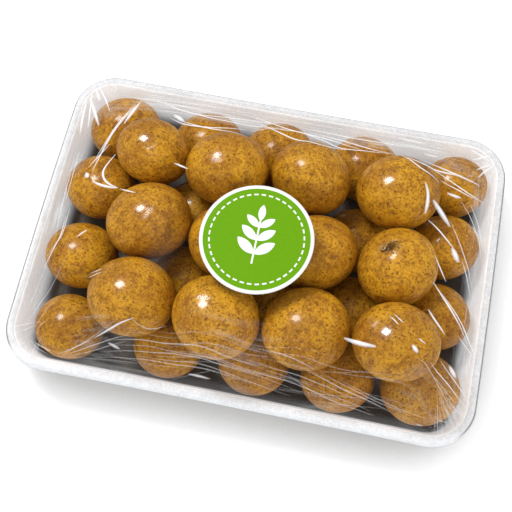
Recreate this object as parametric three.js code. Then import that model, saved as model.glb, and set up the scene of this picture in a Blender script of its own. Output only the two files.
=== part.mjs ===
// Loose longans in a white foam tray, overwrapped in clear film with a round label on top.
// Millimetres, +Z up. The origin is the middle of the wrapped base, on the surface it stands on.
// +X runs along the tray and -Y is the side nearest the viewer.
import * as THREE from 'three';

// Wrapped pack: outside length and width at the rim, height of the foam rim, corner radius
const packLength = 172;
const packWidth = 124.4;
const rimHeight = 22;
const cornerRadius = 16.4;
// The long sides pull in and the short sides bow out by this much at their middles
const longSidePinch = 0.5;
const shortSideBow = 0.6;

// Stretch film, drawn heavier than life so that it is a solid sheet, with a seam slot underneath
const filmThickness = 0.45;
const clearance = 0.35;
const rimClearance = 0.5;
const filmOverFruit = 1.3;
const cornerSpare = 0.5;
const filmRound = 0.6;
const filmFoot = 1.2;
const filmGridInset = 2;
const filmColumns = 30;
const filmRows = 22;
const seamHalfLength = 45;
const seamHalfWidth = 1.5;
const relaxPasses = 400;

// Foam tray: how far the foot of the wall stands in from the edge, the rim's lip, the floor
const baseInset = 7.4;
const lipWidth = 3;
const lipDepth = 4;
const lipOverhang = 2;
const trayRound = 1.6;
const wallThickness = 3;
const floorThickness = 3.2;
const trayCornerSteps = 6;
const traySideSteps = 4;

// Fruit: an oblate spheroid, flattened along its stem axis, with a short stalk scar in a dimple
const flattening = 0.88;
const fruitSides = 14;
const bodyRings = 6;
const scarRadius = 1.3;
const dimpleRadius = 3;
const dimpleDepth = 1.1;
const dimpleAngle = 0.36;

// Lower layer, five across and four deep, far row first: x, y, width
const lowerRows = [
  [[-64, 41, 27.8], [-30.5, 41, 27.8], [-2.5, 41.5, 28.4], [32, 42, 28.2], [66.5, 41.5, 26.8]],
  [[-69, 13, 27.2], [-29, 12, 25.4], [0, 11, 25], [33.5, 12.5, 25.4], [69, 14.5, 27]],
  [[-69, -16, 27.4], [-26.5, -15.5, 25.4], [4, -16, 25], [35.5, -15.5, 25.4], [69.5, -14, 27]],
  [[-64, -43, 25.8], [-26.5, -45, 25.8], [5, -45, 26.4], [36, -45, 27], [67, -41.5, 28.4]],
];
// Upper layer, four across and three deep, nested in the hollows of the lower one
const upperRows = [
  [[-47, 25, 28.2], [-17.5, 19, 31], [13, 24.5, 30.2], [45.5, 23, 31.2]],
  [[-41.5, -4, 31.4], [-11.5, -5.5, 30.4], [20.5, -3.5, 30.8], [48.5, -3.5, 29.2]],
  [[-38.5, -34, 31.2], [-8, -35, 31.2], [21.5, -34, 31.4], [50.5, -33.5, 30.2]],
];
// Stem axes, in degrees from upright and round from +X: most stems point to the viewer and down
const upperStem = { tilt: 118, tiltPerRow: 13, heading: -90 };
const lowerStem = { tilt: 135, tiltPerRow: 4, heading: -90 };
const innerStem = { tilt: 165, tiltPerRow: 0, heading: -90 };
const stemSpread = { tilt: 8, heading: 30 };
const scarStem = { tilt: 31, heading: 168 };
const scarPlace = { row: 1, column: 3 };
const stemSeed = 7;

// Settling of the heap
const settlePasses = 600;
const nestStart = 10;
const wallRide = 6;

// Label
const labelRadius = 19.5;
const labelThickness = 0.35;
const labelX = 0.2;
const labelY = -12.2;
const labelTilt = 4;
const labelSpare = 6;
const labelSides = 48;

const foamColor = 0xf4f5f6;
const skinColor = 0xb47a2e;
const filmColor = 0xe8edf0;
const labelColor = 0x73b400;

const radians = THREE.MathUtils.degToRad;
const up = new THREE.Vector3(0, 0, 1);
const alongX = new THREE.Vector3(1, 0, 0);
const alongY = new THREE.Vector3(0, 1, 0);

const trayBottom = filmThickness + clearance;
const trayFloor = trayBottom + floorThickness;
const filmRimTop = rimHeight + rimClearance + filmThickness;

// Repeatable draws between -1 and 1
function seededDraw(seed) {
  let state = seed;
  return () => {
    state = (state * 1664525 + 1013904223) % 4294967296;
    return (state / 4294967296) * 2 - 1;
  };
}

// Gathers vertices and faces into one closed body
class Body {
  constructor() {
    this.positions = [];
    this.faces = [];
  }

  point(x, y, z) {
    this.positions.push(x, y, z);
    return this.positions.length / 3 - 1;
  }

  // Side wall between two loops that run counterclockwise seen from above, the upper one first
  wall(upper, lower) {
    upper.forEach((a, k) => {
      const next = (k + 1) % upper.length;
      this.faces.push(a, lower[k], lower[next], a, lower[next], upper[next]);
    });
  }

  // Cap that faces up, or down when turned over
  fan(loop, centre, facesUp) {
    loop.forEach((a, k) => {
      const b = loop[(k + 1) % loop.length];
      this.faces.push(...(facesUp ? [a, b, centre] : [a, centre, b]));
    });
  }

  mesh(name, color, roughness, options = {}) {
    const geometry = new THREE.BufferGeometry();
    geometry.setAttribute('position', new THREE.Float32BufferAttribute(this.positions, 3));
    geometry.setIndex(this.faces);
    geometry.computeVertexNormals();
    const material = new THREE.MeshStandardMaterial({ color, roughness, metalness: 0, ...options });
    const mesh = new THREE.Mesh(geometry, material);
    mesh.name = name;
    return mesh;
  }
}

// The tray's slight pinch and bow, applied to every outline
function bowed(x, y) {
  const halfX = packLength / 2;
  const halfY = packWidth / 2;
  return [
    x * (1 + (shortSideBow / halfX) * (1 - (y / halfY) ** 2)),
    y * (1 - (longSidePinch / halfY) * (1 - (x / halfX) ** 2)),
  ];
}

// Outline of the pack moved in by some distance, as half sizes and corner radius
function inset(distance) {
  return {
    halfX: packLength / 2 - distance,
    halfY: packWidth / 2 - distance,
    radius: Math.max(cornerRadius - distance, 1),
  };
}

// A point on one side of a rounded rectangle: sides 0 to 3 are -Y, +X, +Y, -X, walked
// counterclockwise, and t runs from 0 to 1 between the middles of two corners
function sidePoint(outline, side, t) {
  const { halfX, halfY, radius } = outline;
  const along = side % 2 === 0 ? halfX : halfY;
  const out = side % 2 === 0 ? halfY : halfX;
  const straight = along - radius;
  const s = (2 * t - 1) * (straight + (radius * Math.PI) / 4);
  const turn = Math.max(Math.abs(s) - straight, 0) / radius;
  const p = Math.sign(s) * (Math.min(Math.abs(s), straight) + radius * Math.sin(turn));
  const q = out - radius + radius * Math.cos(turn);
  return [[p, -q], [q, p], [-p, q], [-q, -p]][side];
}

// A loop of the film, with one point for each edge of the film's grid
function filmLoop(body, outline, z) {
  const loop = [];
  for (let side = 0; side < 4; side += 1) {
    const count = side % 2 === 0 ? filmColumns : filmRows;
    for (let k = 0; k < count; k += 1) {
      loop.push(body.point(...bowed(...sidePoint(outline, side, k / count)), z));
    }
  }
  return loop;
}

// A loop of the tray, with close steps round the corners and a few along the sides
function trayLoop(body, outline, z) {
  const { halfX, halfY, radius } = outline;
  const corners = [[1, -1], [1, 1], [-1, 1], [-1, -1]];
  const loop = [];
  corners.forEach(([sx, sy], c) => {
    const cx = sx * (halfX - radius);
    const cy = sy * (halfY - radius);
    for (let k = 0; k <= trayCornerSteps; k += 1) {
      const angle = (c - 1 + k / trayCornerSteps) * (Math.PI / 2);
      loop.push([cx + radius * Math.cos(angle), cy + radius * Math.sin(angle)]);
    }
    const [nx, ny] = corners[(c + 1) % 4];
    const start = loop[loop.length - 1];
    const end = c % 2 === 0 ? [start[0], ny * (halfY - radius)] : [nx * (halfX - radius), start[1]];
    for (let k = 1; k < traySideSteps; k += 1) {
      const t = k / traySideSteps;
      loop.push([start[0] + (end[0] - start[0]) * t, start[1] + (end[1] - start[1]) * t]);
    }
  });
  return loop.map(([x, y]) => body.point(...bowed(x, y), z));
}

function axisFrom(tilt, heading) {
  const t = radians(tilt);
  const h = radians(heading);
  return new THREE.Vector3(Math.sin(t) * Math.cos(h), Math.sin(t) * Math.sin(h), Math.cos(t));
}

// Names, sizes, stem axes and first places of all the fruit
function listFruit() {
  const draw = seededDraw(stemSeed);
  const fruit = [];
  [['lower', lowerRows], ['upper', upperRows]].forEach(([layer, rows]) => {
    rows.forEach((row, r) => row.forEach(([x, y, width], c) => {
      const isUpper = layer === 'upper';
      const isInner = !isUpper && r > 0 && r < 3 && c > 0 && c < 4;
      const usual = isUpper ? upperStem : (isInner ? innerStem : lowerStem);
      const tilt = usual.tilt + usual.tiltPerRow * r + draw() * stemSpread.tilt;
      const heading = usual.heading + draw() * stemSpread.heading;
      const showsScar = isUpper && r === scarPlace.row && c === scarPlace.column;
      fruit.push({
        name: `longan_${layer}_${r + 1}_${c + 1}`,
        isUpper,
        lift: 0,
        centre: new THREE.Vector3(x, y, 0),
        halfWidth: width / 2,
        stem: showsScar ? axisFrom(scarStem.tilt, scarStem.heading) : axisFrom(tilt, heading),
      });
    }));
  });
  return fruit;
}

// How far a fruit reaches from its centre in a direction
function reach(item, direction) {
  const share = item.stem.dot(direction) ** 2;
  return item.halfWidth * Math.sqrt(1 - share + share * flattening ** 2);
}

// Inside face of the wall at some height, as a distance in from the pack's edge
function wallInset(z) {
  const low = baseInset + clearance + wallThickness - lipWidth / 2;
  const high = lipWidth + clearance + filmThickness;
  const share = THREE.MathUtils.clamp((z - trayFloor) / (rimHeight - trayFloor), 0, 1);
  return low + (high - low) * share;
}

// Keeps a lower fruit inside the walls: it rides a little way up a wall before it is pushed in
function keepInside(item) {
  const { centre } = item;
  const lean = (wallInset(trayFloor) - wallInset(rimHeight)) / (rimHeight - trayFloor);
  const slant = Math.hypot(1, lean);
  const room = (half, axis) => half - wallInset(centre.z) - (reach(item, axis) + clearance) * slant;
  const pinched = packWidth / 2 - longSidePinch * (1 - (centre.x / (packLength / 2)) ** 2);
  const over = Math.max(Math.abs(centre.x) - room(packLength / 2, alongX), 0);
  item.lift = Math.min(item.lift + over, wallRide);
  const limitX = room(packLength / 2, alongX);
  const limitY = room(pinched, alongY);
  centre.x = THREE.MathUtils.clamp(centre.x, -limitX, limitX);
  centre.y = THREE.MathUtils.clamp(centre.y, -limitY, limitY);
  centre.z = trayFloor + clearance + reach(item, up) + item.lift;
}

// Settles the heap: the lower layer on the floor between the walls, the upper layer on top of it
function settle(fruit) {
  const offset = new THREE.Vector3();
  fruit.forEach((item) => {
    item.centre.z = trayFloor + clearance + reach(item, up) + (item.isUpper ? nestStart : 0);
  });
  for (let pass = 0; pass < settlePasses; pass += 1) {
    fruit.forEach((item, i) => fruit.slice(i + 1).forEach((other) => {
      offset.subVectors(other.centre, item.centre);
      const apart = offset.length();
      offset.normalize();
      const overlap = reach(item, offset) + reach(other, offset) + clearance - apart;
      if (overlap <= 0) return;
      if (item.isUpper === other.isUpper) {
        offset.z = 0;
        item.centre.addScaledVector(offset, -overlap / 2);
        other.centre.addScaledVector(offset, overlap / 2);
      } else {
        other.centre.z += overlap / 2;
      }
    }));
    fruit.filter((item) => !item.isUpper).forEach(keepInside);
  }
  return fruit;
}

// One longan, turned about its stem axis from the stalk scar to the far end
function makeFruit(item) {
  const a = item.halfWidth;
  const b = a * flattening;
  const rimOfDimple = b * Math.cos(dimpleAngle);
  const profile = [
    [0, rimOfDimple],
    [scarRadius * 0.8, rimOfDimple - 0.1],
    [scarRadius, rimOfDimple - dimpleDepth],
    [dimpleRadius, rimOfDimple - dimpleDepth * 0.5],
  ];
  for (let k = 0; k < bodyRings; k += 1) {
    const angle = dimpleAngle + ((Math.PI - dimpleAngle) * k) / bodyRings;
    profile.push([a * Math.sin(angle), b * Math.cos(angle)]);
  }
  profile.push([0, -b]);
  const body = new Body();
  const spin = new THREE.Quaternion().setFromUnitVectors(up, item.stem);
  const place = (r, z, angle) => {
    const p = new THREE.Vector3(r * Math.cos(angle), r * Math.sin(angle), z);
    p.applyQuaternion(spin).add(item.centre);
    return body.point(p.x, p.y, p.z);
  };
  const rings = profile.slice(1, -1).map(([r, z]) => Array.from(
    { length: fruitSides },
    (_, k) => place(r, z, (k * 2 * Math.PI) / fruitSides),
  ));
  body.fan(rings[0], place(...profile[0], 0), true);
  rings.slice(1).forEach((ring, k) => body.wall(rings[k], ring));
  body.fan(rings[rings.length - 1], place(...profile[profile.length - 1], 0), false);
  return body.mesh(item.name, skinColor, 0.55);
}

// Foam tray: floor, sloping walls and a rolled lip
function makeTray() {
  const edge = filmThickness + clearance;
  const round = trayRound;
  const body = new Body();
  const stations = [
    [wallInset(trayFloor) + round, trayFloor],
    [wallInset(trayFloor + round), trayFloor + round],
    [wallInset(rimHeight - round), rimHeight - round],
    [edge + lipWidth - round * 0.4, rimHeight - round * 0.15],
    [edge + round, rimHeight],
    [edge + round * 0.3, rimHeight - round * 0.3],
    [edge, rimHeight - round],
    [edge, rimHeight - lipDepth],
    [edge + lipOverhang, rimHeight - lipDepth],
    [baseInset + clearance, trayBottom + round],
    [baseInset + clearance + round, trayBottom],
  ];
  const loops = stations.map(([distance, z]) => trayLoop(body, inset(distance), z));
  body.fan(loops[0], body.point(0, 0, trayFloor), true);
  loops.slice(1).forEach((loop, k) => body.wall(loops[k], loop));
  body.fan(loops[loops.length - 1], body.point(0, 0, trayBottom), false);
  return body.mesh('foam_tray', foamColor, 0.6);
}

// Height of a fruit's top at a place, grown by a margin, or -Infinity beside the fruit
function fruitTop(item, x, y, margin) {
  const a = item.halfWidth + margin;
  const b = item.halfWidth * flattening + margin;
  const m = 1 / b ** 2 - 1 / a ** 2;
  const dx = x - item.centre.x;
  const dy = y - item.centre.y;
  const flat = item.stem.x * dx + item.stem.y * dy;
  const qa = 1 / a ** 2 + item.stem.z ** 2 * m;
  const qb = 2 * item.stem.z * flat * m;
  const qc = (dx * dx + dy * dy) / a ** 2 + flat * flat * m - 1;
  const root = qb * qb - 4 * qa * qc;
  return root < 0 ? -Infinity : item.centre.z + (-qb + Math.sqrt(root)) / (2 * qa);
}

// Places of the film's grid over the pack, spread between its four sides
function filmGrid() {
  const outline = inset(filmGridInset);
  const corner = (side) => sidePoint(outline, side, 0);
  const blend = (u, v, k) => {
    const near = sidePoint(outline, 0, u)[k];
    const right = sidePoint(outline, 1, v)[k];
    const far = sidePoint(outline, 2, 1 - u)[k];
    const left = sidePoint(outline, 3, 1 - v)[k];
    const corners = (1 - u) * (1 - v) * corner(0)[k] + u * (1 - v) * corner(1)[k]
      + u * v * corner(2)[k] + (1 - u) * v * corner(3)[k];
    return (1 - v) * near + v * far + (1 - u) * left + u * right - corners;
  };
  const grid = [];
  for (let i = 0; i <= filmColumns; i += 1) {
    grid.push([]);
    for (let j = 0; j <= filmRows; j += 1) {
      const u = i / filmColumns;
      const v = j / filmRows;
      const [x, y] = bowed(blend(u, v, 0), blend(u, v, 1));
      grid[i].push({ x, y, z: rimHeight + rimClearance, floor: -Infinity, held: false });
    }
  }
  return grid;
}

// The label's plane: it rests on the film over the fruit below it, tipped a little to the viewer
function labelHeight(base, y) {
  return base + Math.tan(radians(labelTilt)) * (y - labelY);
}

// Stretches the film's underside over the fruit: a taut sheet, held at the rim and flat under the label
function stretchFilm(fruit) {
  const grid = filmGrid();
  const nodes = grid.flat();
  const nearLabel = (node, spare) => Math.hypot(node.x - labelX, node.y - labelY) < labelRadius + spare;
  nodes.forEach((node) => {
    node.floor = Math.max(...fruit.map((item) => fruitTop(item, node.x, node.y, filmOverFruit)));
  });
  const labelBase = Math.max(...nodes.filter((node) => nearLabel(node, labelSpare))
    .map((node) => node.floor - labelHeight(0, node.y)));
  nodes.filter((node) => nearLabel(node, labelSpare)).forEach((node) => {
    node.z = labelHeight(labelBase, node.y);
    node.held = true;
  });
  for (let pass = 0; pass < relaxPasses; pass += 1) {
    for (let i = 1; i < filmColumns; i += 1) {
      for (let j = 1; j < filmRows; j += 1) {
        const node = grid[i][j];
        const around = grid[i - 1][j].z + grid[i + 1][j].z + grid[i][j - 1].z + grid[i][j + 1].z;
        if (!node.held) node.z = Math.max(node.floor, around / 4);
      }
    }
  }
  return { grid, labelBase };
}

// Film: over the heap and the rim, in to the foot of the wall, and under the base to the seam
function makeFilm(grid) {
  const body = new Body();
  const layer = (rise) => grid.map((column) => column.map(({ x, y, z }) => body.point(x, y, z + rise)));
  const edgeOf = (points) => {
    const near = points.slice(0, -1).map((column) => column[0]);
    const right = points[filmColumns].slice(0, -1);
    const far = points.slice(1).map((column) => column[filmRows]).reverse();
    const left = points[0].slice(1).reverse();
    return [...near, ...right, ...far, ...left];
  };
  const sheet = (points, facesUp) => {
    for (let i = 0; i < filmColumns; i += 1) {
      for (let j = 0; j < filmRows; j += 1) {
        const [a, b, c, d] = [points[i][j], points[i + 1][j], points[i + 1][j + 1], points[i][j + 1]];
        body.faces.push(...(facesUp ? [a, b, c, a, c, d] : [a, c, b, a, d, c]));
      }
    }
  };
  const side = (inward) => [
    [inset(filmRound + inward), filmRimTop - filmRound - inward * 0.4],
    [inset(inward), rimHeight - filmRound * 2],
    [inset(inward), rimHeight - lipDepth - filmRound],
    [inset(baseInset - cornerSpare + inward), filmFoot],
    [inset(baseInset - cornerSpare + filmFoot + inward), inward],
  ].map(([outline, z]) => filmLoop(body, outline, z));
  const seam = { halfX: seamHalfLength, halfY: seamHalfWidth, radius: seamHalfWidth * 0.9 };
  const outer = layer(filmThickness);
  const inner = layer(0);
  const loops = [
    edgeOf(outer),
    ...side(0),
    filmLoop(body, seam, 0),
    filmLoop(body, seam, filmThickness),
    ...side(filmThickness).reverse(),
    edgeOf(inner),
  ];
  sheet(outer, true);
  loops.slice(1).forEach((loop, k) => body.wall(loops[k], loop));
  sheet(inner, false);
  return body.mesh('stretch_film', filmColor, 0.1, { transparent: true, opacity: 0.25 });
}

// Round label, lying on the film
function makeLabel(labelBase) {
  const geometry = new THREE.CylinderGeometry(labelRadius, labelRadius, labelThickness, labelSides);
  const material = new THREE.MeshStandardMaterial({ color: labelColor, roughness: 0.45, metalness: 0 });
  const label = new THREE.Mesh(geometry, material);
  const rise = filmThickness + clearance + labelThickness / 2;
  label.name = 'round_label';
  label.rotation.x = Math.PI / 2 + radians(labelTilt);
  label.position.set(labelX, labelY, labelBase + rise);
  return label;
}

const fruit = settle(listFruit());
const { grid, labelBase } = stretchFilm(fruit);

const group = new THREE.Group();
group.add(makeTray());
fruit.forEach((item) => group.add(makeFruit(item)));
group.add(makeFilm(grid));
group.add(makeLabel(labelBase));

export default group;
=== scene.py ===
import math

import bmesh
import bpy
import numpy as np
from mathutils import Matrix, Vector
from mathutils.bvhtree import BVHTree


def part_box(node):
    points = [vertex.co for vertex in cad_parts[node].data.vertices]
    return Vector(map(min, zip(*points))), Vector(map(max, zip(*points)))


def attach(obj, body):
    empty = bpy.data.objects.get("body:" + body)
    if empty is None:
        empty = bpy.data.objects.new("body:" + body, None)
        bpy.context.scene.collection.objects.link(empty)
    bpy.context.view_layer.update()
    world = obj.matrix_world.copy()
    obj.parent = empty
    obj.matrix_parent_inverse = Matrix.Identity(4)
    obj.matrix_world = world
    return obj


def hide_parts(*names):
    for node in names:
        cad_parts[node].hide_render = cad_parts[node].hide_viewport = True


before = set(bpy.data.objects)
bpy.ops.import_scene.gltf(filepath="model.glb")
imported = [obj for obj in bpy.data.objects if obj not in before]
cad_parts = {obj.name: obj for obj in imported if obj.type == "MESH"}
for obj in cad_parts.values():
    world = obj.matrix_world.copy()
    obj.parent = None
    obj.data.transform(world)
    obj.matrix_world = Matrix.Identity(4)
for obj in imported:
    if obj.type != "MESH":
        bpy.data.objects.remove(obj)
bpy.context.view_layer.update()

mm = 0.001
nodeNames = sorted(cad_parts)
print("frame loaded:", len(nodeNames), "nodes")


# Shader maths: a Wire wraps a socket, and Python operators on wires add Math nodes
class Wire:
    def __init__(self, paint, socket):
        self.paint = paint
        self.socket = socket

    def __add__(self, other):
        return self.paint.maths("ADD", self, other)

    def __sub__(self, other):
        return self.paint.maths("SUBTRACT", self, other)

    def __rsub__(self, other):
        return self.paint.maths("SUBTRACT", other, self)

    def __mul__(self, other):
        return self.paint.maths("MULTIPLY", self, other)

    def __truediv__(self, other):
        return self.paint.maths("DIVIDE", self, other)

    def __pow__(self, other):
        return self.paint.maths("POWER", self, other)

    __radd__ = __add__
    __rmul__ = __mul__

    def above(self, edge):
        return self.paint.maths("GREATER_THAN", self, edge)

    def below(self, edge):
        return self.paint.maths("LESS_THAN", self, edge)

    def atLeast(self, other):
        return self.paint.maths("MAXIMUM", self, other)

    def size(self):
        return self.paint.maths("ABSOLUTE", self, 0)

    # 0 to 1 between two values, eased at both ends
    def ease(self, low, high):
        settings = {"interpolation_type": "SMOOTHSTEP"}
        return self.paint.add("ShaderNodeMapRange", settings, {0: self, 1: low, 2: high}).out(0)


class Painted:
    def __init__(self, paint, node):
        self.paint = paint
        self.node = node

    def out(self, key):
        return Wire(self.paint, self.node.outputs[key])


# A material or a world, and the one method that adds a node: its type, its settings, then its sockets
class Paint:
    def __init__(self, name, owners=None):
        self.owner = (bpy.data.materials if owners is None else owners).new(name)
        self.owner.use_nodes = True
        self.tree = self.owner.node_tree
        self.tree.nodes.clear()

    def add(self, kind, settings=None, sockets=None):
        node = self.tree.nodes.new(kind)
        for key, value in (settings or {}).items():
            setattr(node, key, value)
        for key, value in (sockets or {}).items():
            if isinstance(value, Wire):
                self.tree.links.new(value.socket, node.inputs[key])
            else:
                node.inputs[key].default_value = value
        return Painted(self, node)

    def maths(self, operation, first, second):
        return self.add("ShaderNodeMath", {"operation": operation}, {0: first, 1: second}).out(0)

    def colours(self, share, first, second):
        first, second = (x if isinstance(x, Wire) else (*x, 1) for x in (first, second))
        return self.add("ShaderNodeMix", {"data_type": "RGBA"}, {0: share, 6: first, 7: second}).out(2)

    # From one number to another as the share goes from 0 to 1
    def between(self, share, low, high):
        return self.add("ShaderNodeMapRange", {}, {"Value": share, "To Min": low, "To Max": high}).out(0)

    def place(self):
        return self.add("ShaderNodeTexCoord").out("Object")

    def stretched(self, vector, scale):
        settings = {"operation": "MULTIPLY"}
        return self.add("ShaderNodeVectorMath", settings, {0: vector, 1: scale}).out(0)

    def noise(self, vector, scale, detail=3, rough=0.5):
        sockets = {"Vector": vector, "Scale": scale, "Detail": detail, "Roughness": rough}
        return self.add("ShaderNodeTexNoise", {}, sockets).out("Fac")

    def cells(self, vector, scale, output="Distance"):
        return self.add("ShaderNodeTexVoronoi", {}, {"Vector": vector, "Scale": scale}).out(output)

    def value(self, name):
        return self.add("ShaderNodeAttribute", {"attribute_name": name}).out("Fac")

    def bump(self, height, distance, strength):
        sockets = {"Height": height, "Distance": distance, "Strength": strength}
        return self.add("ShaderNodeBump", {}, sockets).out(0)

    def layered(self, share, below, above):
        return self.add("ShaderNodeMixShader", {}, {0: share, 1: below, 2: above}).out(0)

    def transparent(self):
        return self.add("ShaderNodeBsdfTransparent", {}, {"Color": (1, 1, 1, 1)}).out(0)

    def surface(self, sockets):
        return self.add("ShaderNodeBsdfPrincipled", {}, sockets).out("BSDF")

    def finish(self, shader, output="ShaderNodeOutputMaterial"):
        self.add(output, {}, {"Surface": shader})
        return self.owner


# A mesh from points in millimetres, with its material, its slot and the node that it stands for
def makePiece(name, points, faces, material, node=None, values=None):
    mesh = bpy.data.meshes.new(name)
    mesh.from_pydata([tuple(p) for p in np.asarray(points) * mm], [], faces)
    mesh.polygons.foreach_set("use_smooth", [True] * len(mesh.polygons))
    for key, numbers in (values or {}).items():
        layer = mesh.attributes.new(key, "FLOAT", "POINT")
        layer.data.foreach_set("value", np.asarray(numbers, dtype=np.float32))
    mesh.materials.append(material)
    mesh.update()
    piece = bpy.data.objects.new(name, mesh)
    bpy.context.scene.collection.objects.link(piece)
    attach(piece, "root")
    if node:
        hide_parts(node)
    return piece


def ballArrays(level):
    ball = bmesh.new()
    bmesh.ops.create_icosphere(ball, subdivisions=level, radius=1)
    points = np.array([v.co[:] for v in ball.verts])
    faces = [[v.index for v in f.verts] for f in ball.faces]
    ball.free()
    return points / np.linalg.norm(points, axis=1)[:, None], faces


# Camera, at the photograph's viewing angle, looking at the middle of the pack's base
cameraSpec = {
    "focalPixels": 1000, "framePixels": 512, "sensor": 36.0,
    "distance": 394.6, "elevation": 68, "azimuth": 11.5,
    "rightPixels": 7.25, "downPixels": 13.3,
}


# The direction from the pack to the camera
def outwardFrom(up, turn):
    return np.array([math.sin(turn) * math.cos(up), -math.cos(turn) * math.cos(up), math.sin(up)])


def addCamera(spec):
    data = bpy.data.cameras.new("camera")
    data.sensor_width = spec["sensor"]
    data.lens = spec["focalPixels"] * spec["sensor"] / spec["framePixels"]
    data.shift_x = -spec["rightPixels"] / spec["framePixels"]
    data.shift_y = spec["downPixels"] / spec["framePixels"]
    data.clip_start = 0.01
    camera = bpy.data.objects.new("camera", data)
    up, turn = math.radians(spec["elevation"]), math.radians(spec["azimuth"])
    camera.location = outwardFrom(up, turn) * spec["distance"] * mm
    camera.rotation_euler = (math.pi / 2 - up, 0, turn)
    bpy.context.scene.collection.objects.link(camera)
    bpy.context.scene.camera = camera


addCamera(cameraSpec)

# Softboxes: direction towards the light, distance and size in metres, strength in watts, seen in gloss or not
lightSpec = {
    "key": {
        "towards": (-0.43, 0.31, 0.85), "distance": 1.0,
        "size": (0.27, 0.27), "watts": 5.0, "mirrored": True,
    },
    "side": {
        "towards": (0.85, -0.04, 0.52), "distance": 1.1,
        "size": (0.28, 0.36), "watts": 2.4, "mirrored": False,
    },
    "fill": {
        "towards": (-0.1, -0.72, 0.68), "distance": 1.1,
        "size": (0.4, 0.4), "watts": 1.8, "mirrored": False,
    },
}
# Strength of the white world on surfaces, in gloss and behind the object
worldSpec = {"colour": (1, 1, 1, 1), "strength": 0.67, "mirrored": 0.08, "seen": 0.95}


def addLights(lights):
    for name, spec in lights.items():
        data = bpy.data.lights.new(name, "AREA")
        data.shape = "RECTANGLE"
        data.size, data.size_y = spec["size"]
        data.energy = spec["watts"]
        light = bpy.data.objects.new(name, data)
        light.visible_glossy = spec["mirrored"]
        towards = np.array(spec["towards"]) / np.linalg.norm(spec["towards"])
        light.location = towards * spec["distance"]
        light.rotation_euler = Vector(towards).to_track_quat("Z", "Y").to_euler()
        bpy.context.scene.collection.objects.link(light)


def addWorld(spec):
    paint = Paint("studio", bpy.data.worlds)
    path = paint.add("ShaderNodeLightPath")
    level = paint.between(path.out("Is Glossy Ray"), spec["strength"], spec["mirrored"])
    level = paint.between(path.out("Is Camera Ray"), level, spec["seen"])
    background = paint.add("ShaderNodeBackground", {}, {"Color": spec["colour"], "Strength": level}).out(0)
    bpy.context.scene.world = paint.finish(background, "ShaderNodeOutputWorld")
    bpy.context.scene.view_settings.view_transform = "Standard"


addLights(lightSpec)
addWorld(worldSpec)
print("camera and lights placed")

# Floor: painted contact shade, darker and glowing less close to the pack, in millimetres of reach; elsewhere
# an even white glow, and dark where gloss mirrors it
floorSpec = {
    "size": 6000, "colour": (0.82, 0.82, 0.82), "grainScale": 40, "grainShade": 0.985, "roughness": 0.9,
    "reach": 30, "contact": (0.3, 0.95), "contactRays": 8, "shaded": (0.26, 0.255, 0.25),
    "glow": (1, 1, 1), "shadedGlow": (0.62, 0.61, 0.6), "glowStrength": 0.46,
    "mirrored": (0.12, 0.12, 0.12), "mirroredGlow": (0, 0, 0),
}


def floorPaint(spec):
    paint = Paint("paleFloor")
    grain = paint.noise(paint.place(), spec["grainScale"])
    tone = paint.colours(grain, spec["colour"], tuple(v * spec["grainShade"] for v in spec["colour"]))
    settings, sockets = {"samples": spec["contactRays"]}, {"Distance": spec["reach"] * mm}
    # painted contact shade: ambient occlusion darkens the floor's colour and dims its glow close to the pack
    clear = paint.add("ShaderNodeAmbientOcclusion", settings, sockets).out("AO").ease(*spec["contact"])
    tone = paint.colours(clear, spec["shaded"], tone)
    glow = paint.colours(clear, spec["shadedGlow"], spec["glow"])
    mirrored = paint.add("ShaderNodeLightPath").out("Is Glossy Ray")
    return paint.finish(paint.surface({
        "Base Color": paint.colours(mirrored, tone, spec["mirrored"]), "Roughness": spec["roughness"],
        "Emission Color": paint.colours(mirrored, glow, spec["mirroredGlow"]),
        "Emission Strength": spec["glowStrength"],
    }))


def addFloor(spec):
    half = spec["size"] / 2 * mm
    mesh = bpy.data.meshes.new("floor")
    corners = [(-half, -half, 0), (half, -half, 0), (half, half, 0), (-half, half, 0)]
    mesh.from_pydata(corners, [], [(0, 1, 2, 3)])
    mesh.materials.append(floorPaint(spec))
    floor = bpy.data.objects.new("floor", mesh)
    bpy.context.scene.collection.objects.link(floor)


addFloor(floorSpec)

# Fruit: how the stems point, as the frame's solids were laid, and the form of one longan
fruitSpec = {
    "lowerRows": 4, "lowerColumns": 5, "upperRows": 3, "upperColumns": 4,
    "flattening": 0.88, "seed": 7,
    # tilt from upright in degrees, and its change from row to row
    "upperStem": (118, 13), "lowerStem": (135, 4), "innerStem": (165, 0), "heading": -90,
    "tiltSpread": 8, "headingSpread": 30,
    "scarNode": "longan_upper_2_4", "scarStem": (31, 168),
    "level": 6, "innerLevel": 5, "scarLevel": 7,
    "dimpleWidth": 2.8, "dimpleDepth": 0.8, "knobWidth": 1.25, "knobHeight": 1.3,
    "hollowWidth": 0.45, "hollowDepth": 0.6, "hollowShade": 0.4,
    "patchTowards": (-0.55, 0.83), "patchReach": 3.4, "patchSize": 2.6,
    "patchRough": 0.34, "patchWaves": 7, "patchWave": 42, "patchSoften": 3,
    "lump": 0.16, "lumpWaves": 6, "lumpWave": 1.7, "lumpTurn": 6.3,
}
# The rule that the frame's own source draws its tilts by
drawRule = {"factor": 1664525, "step": 1013904223, "range": 4294967296}


def axisFrom(tilt, heading):
    t, h = math.radians(tilt), math.radians(heading)
    return np.array([math.sin(t) * math.cos(h), math.sin(t) * math.sin(h), math.cos(t)])


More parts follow.
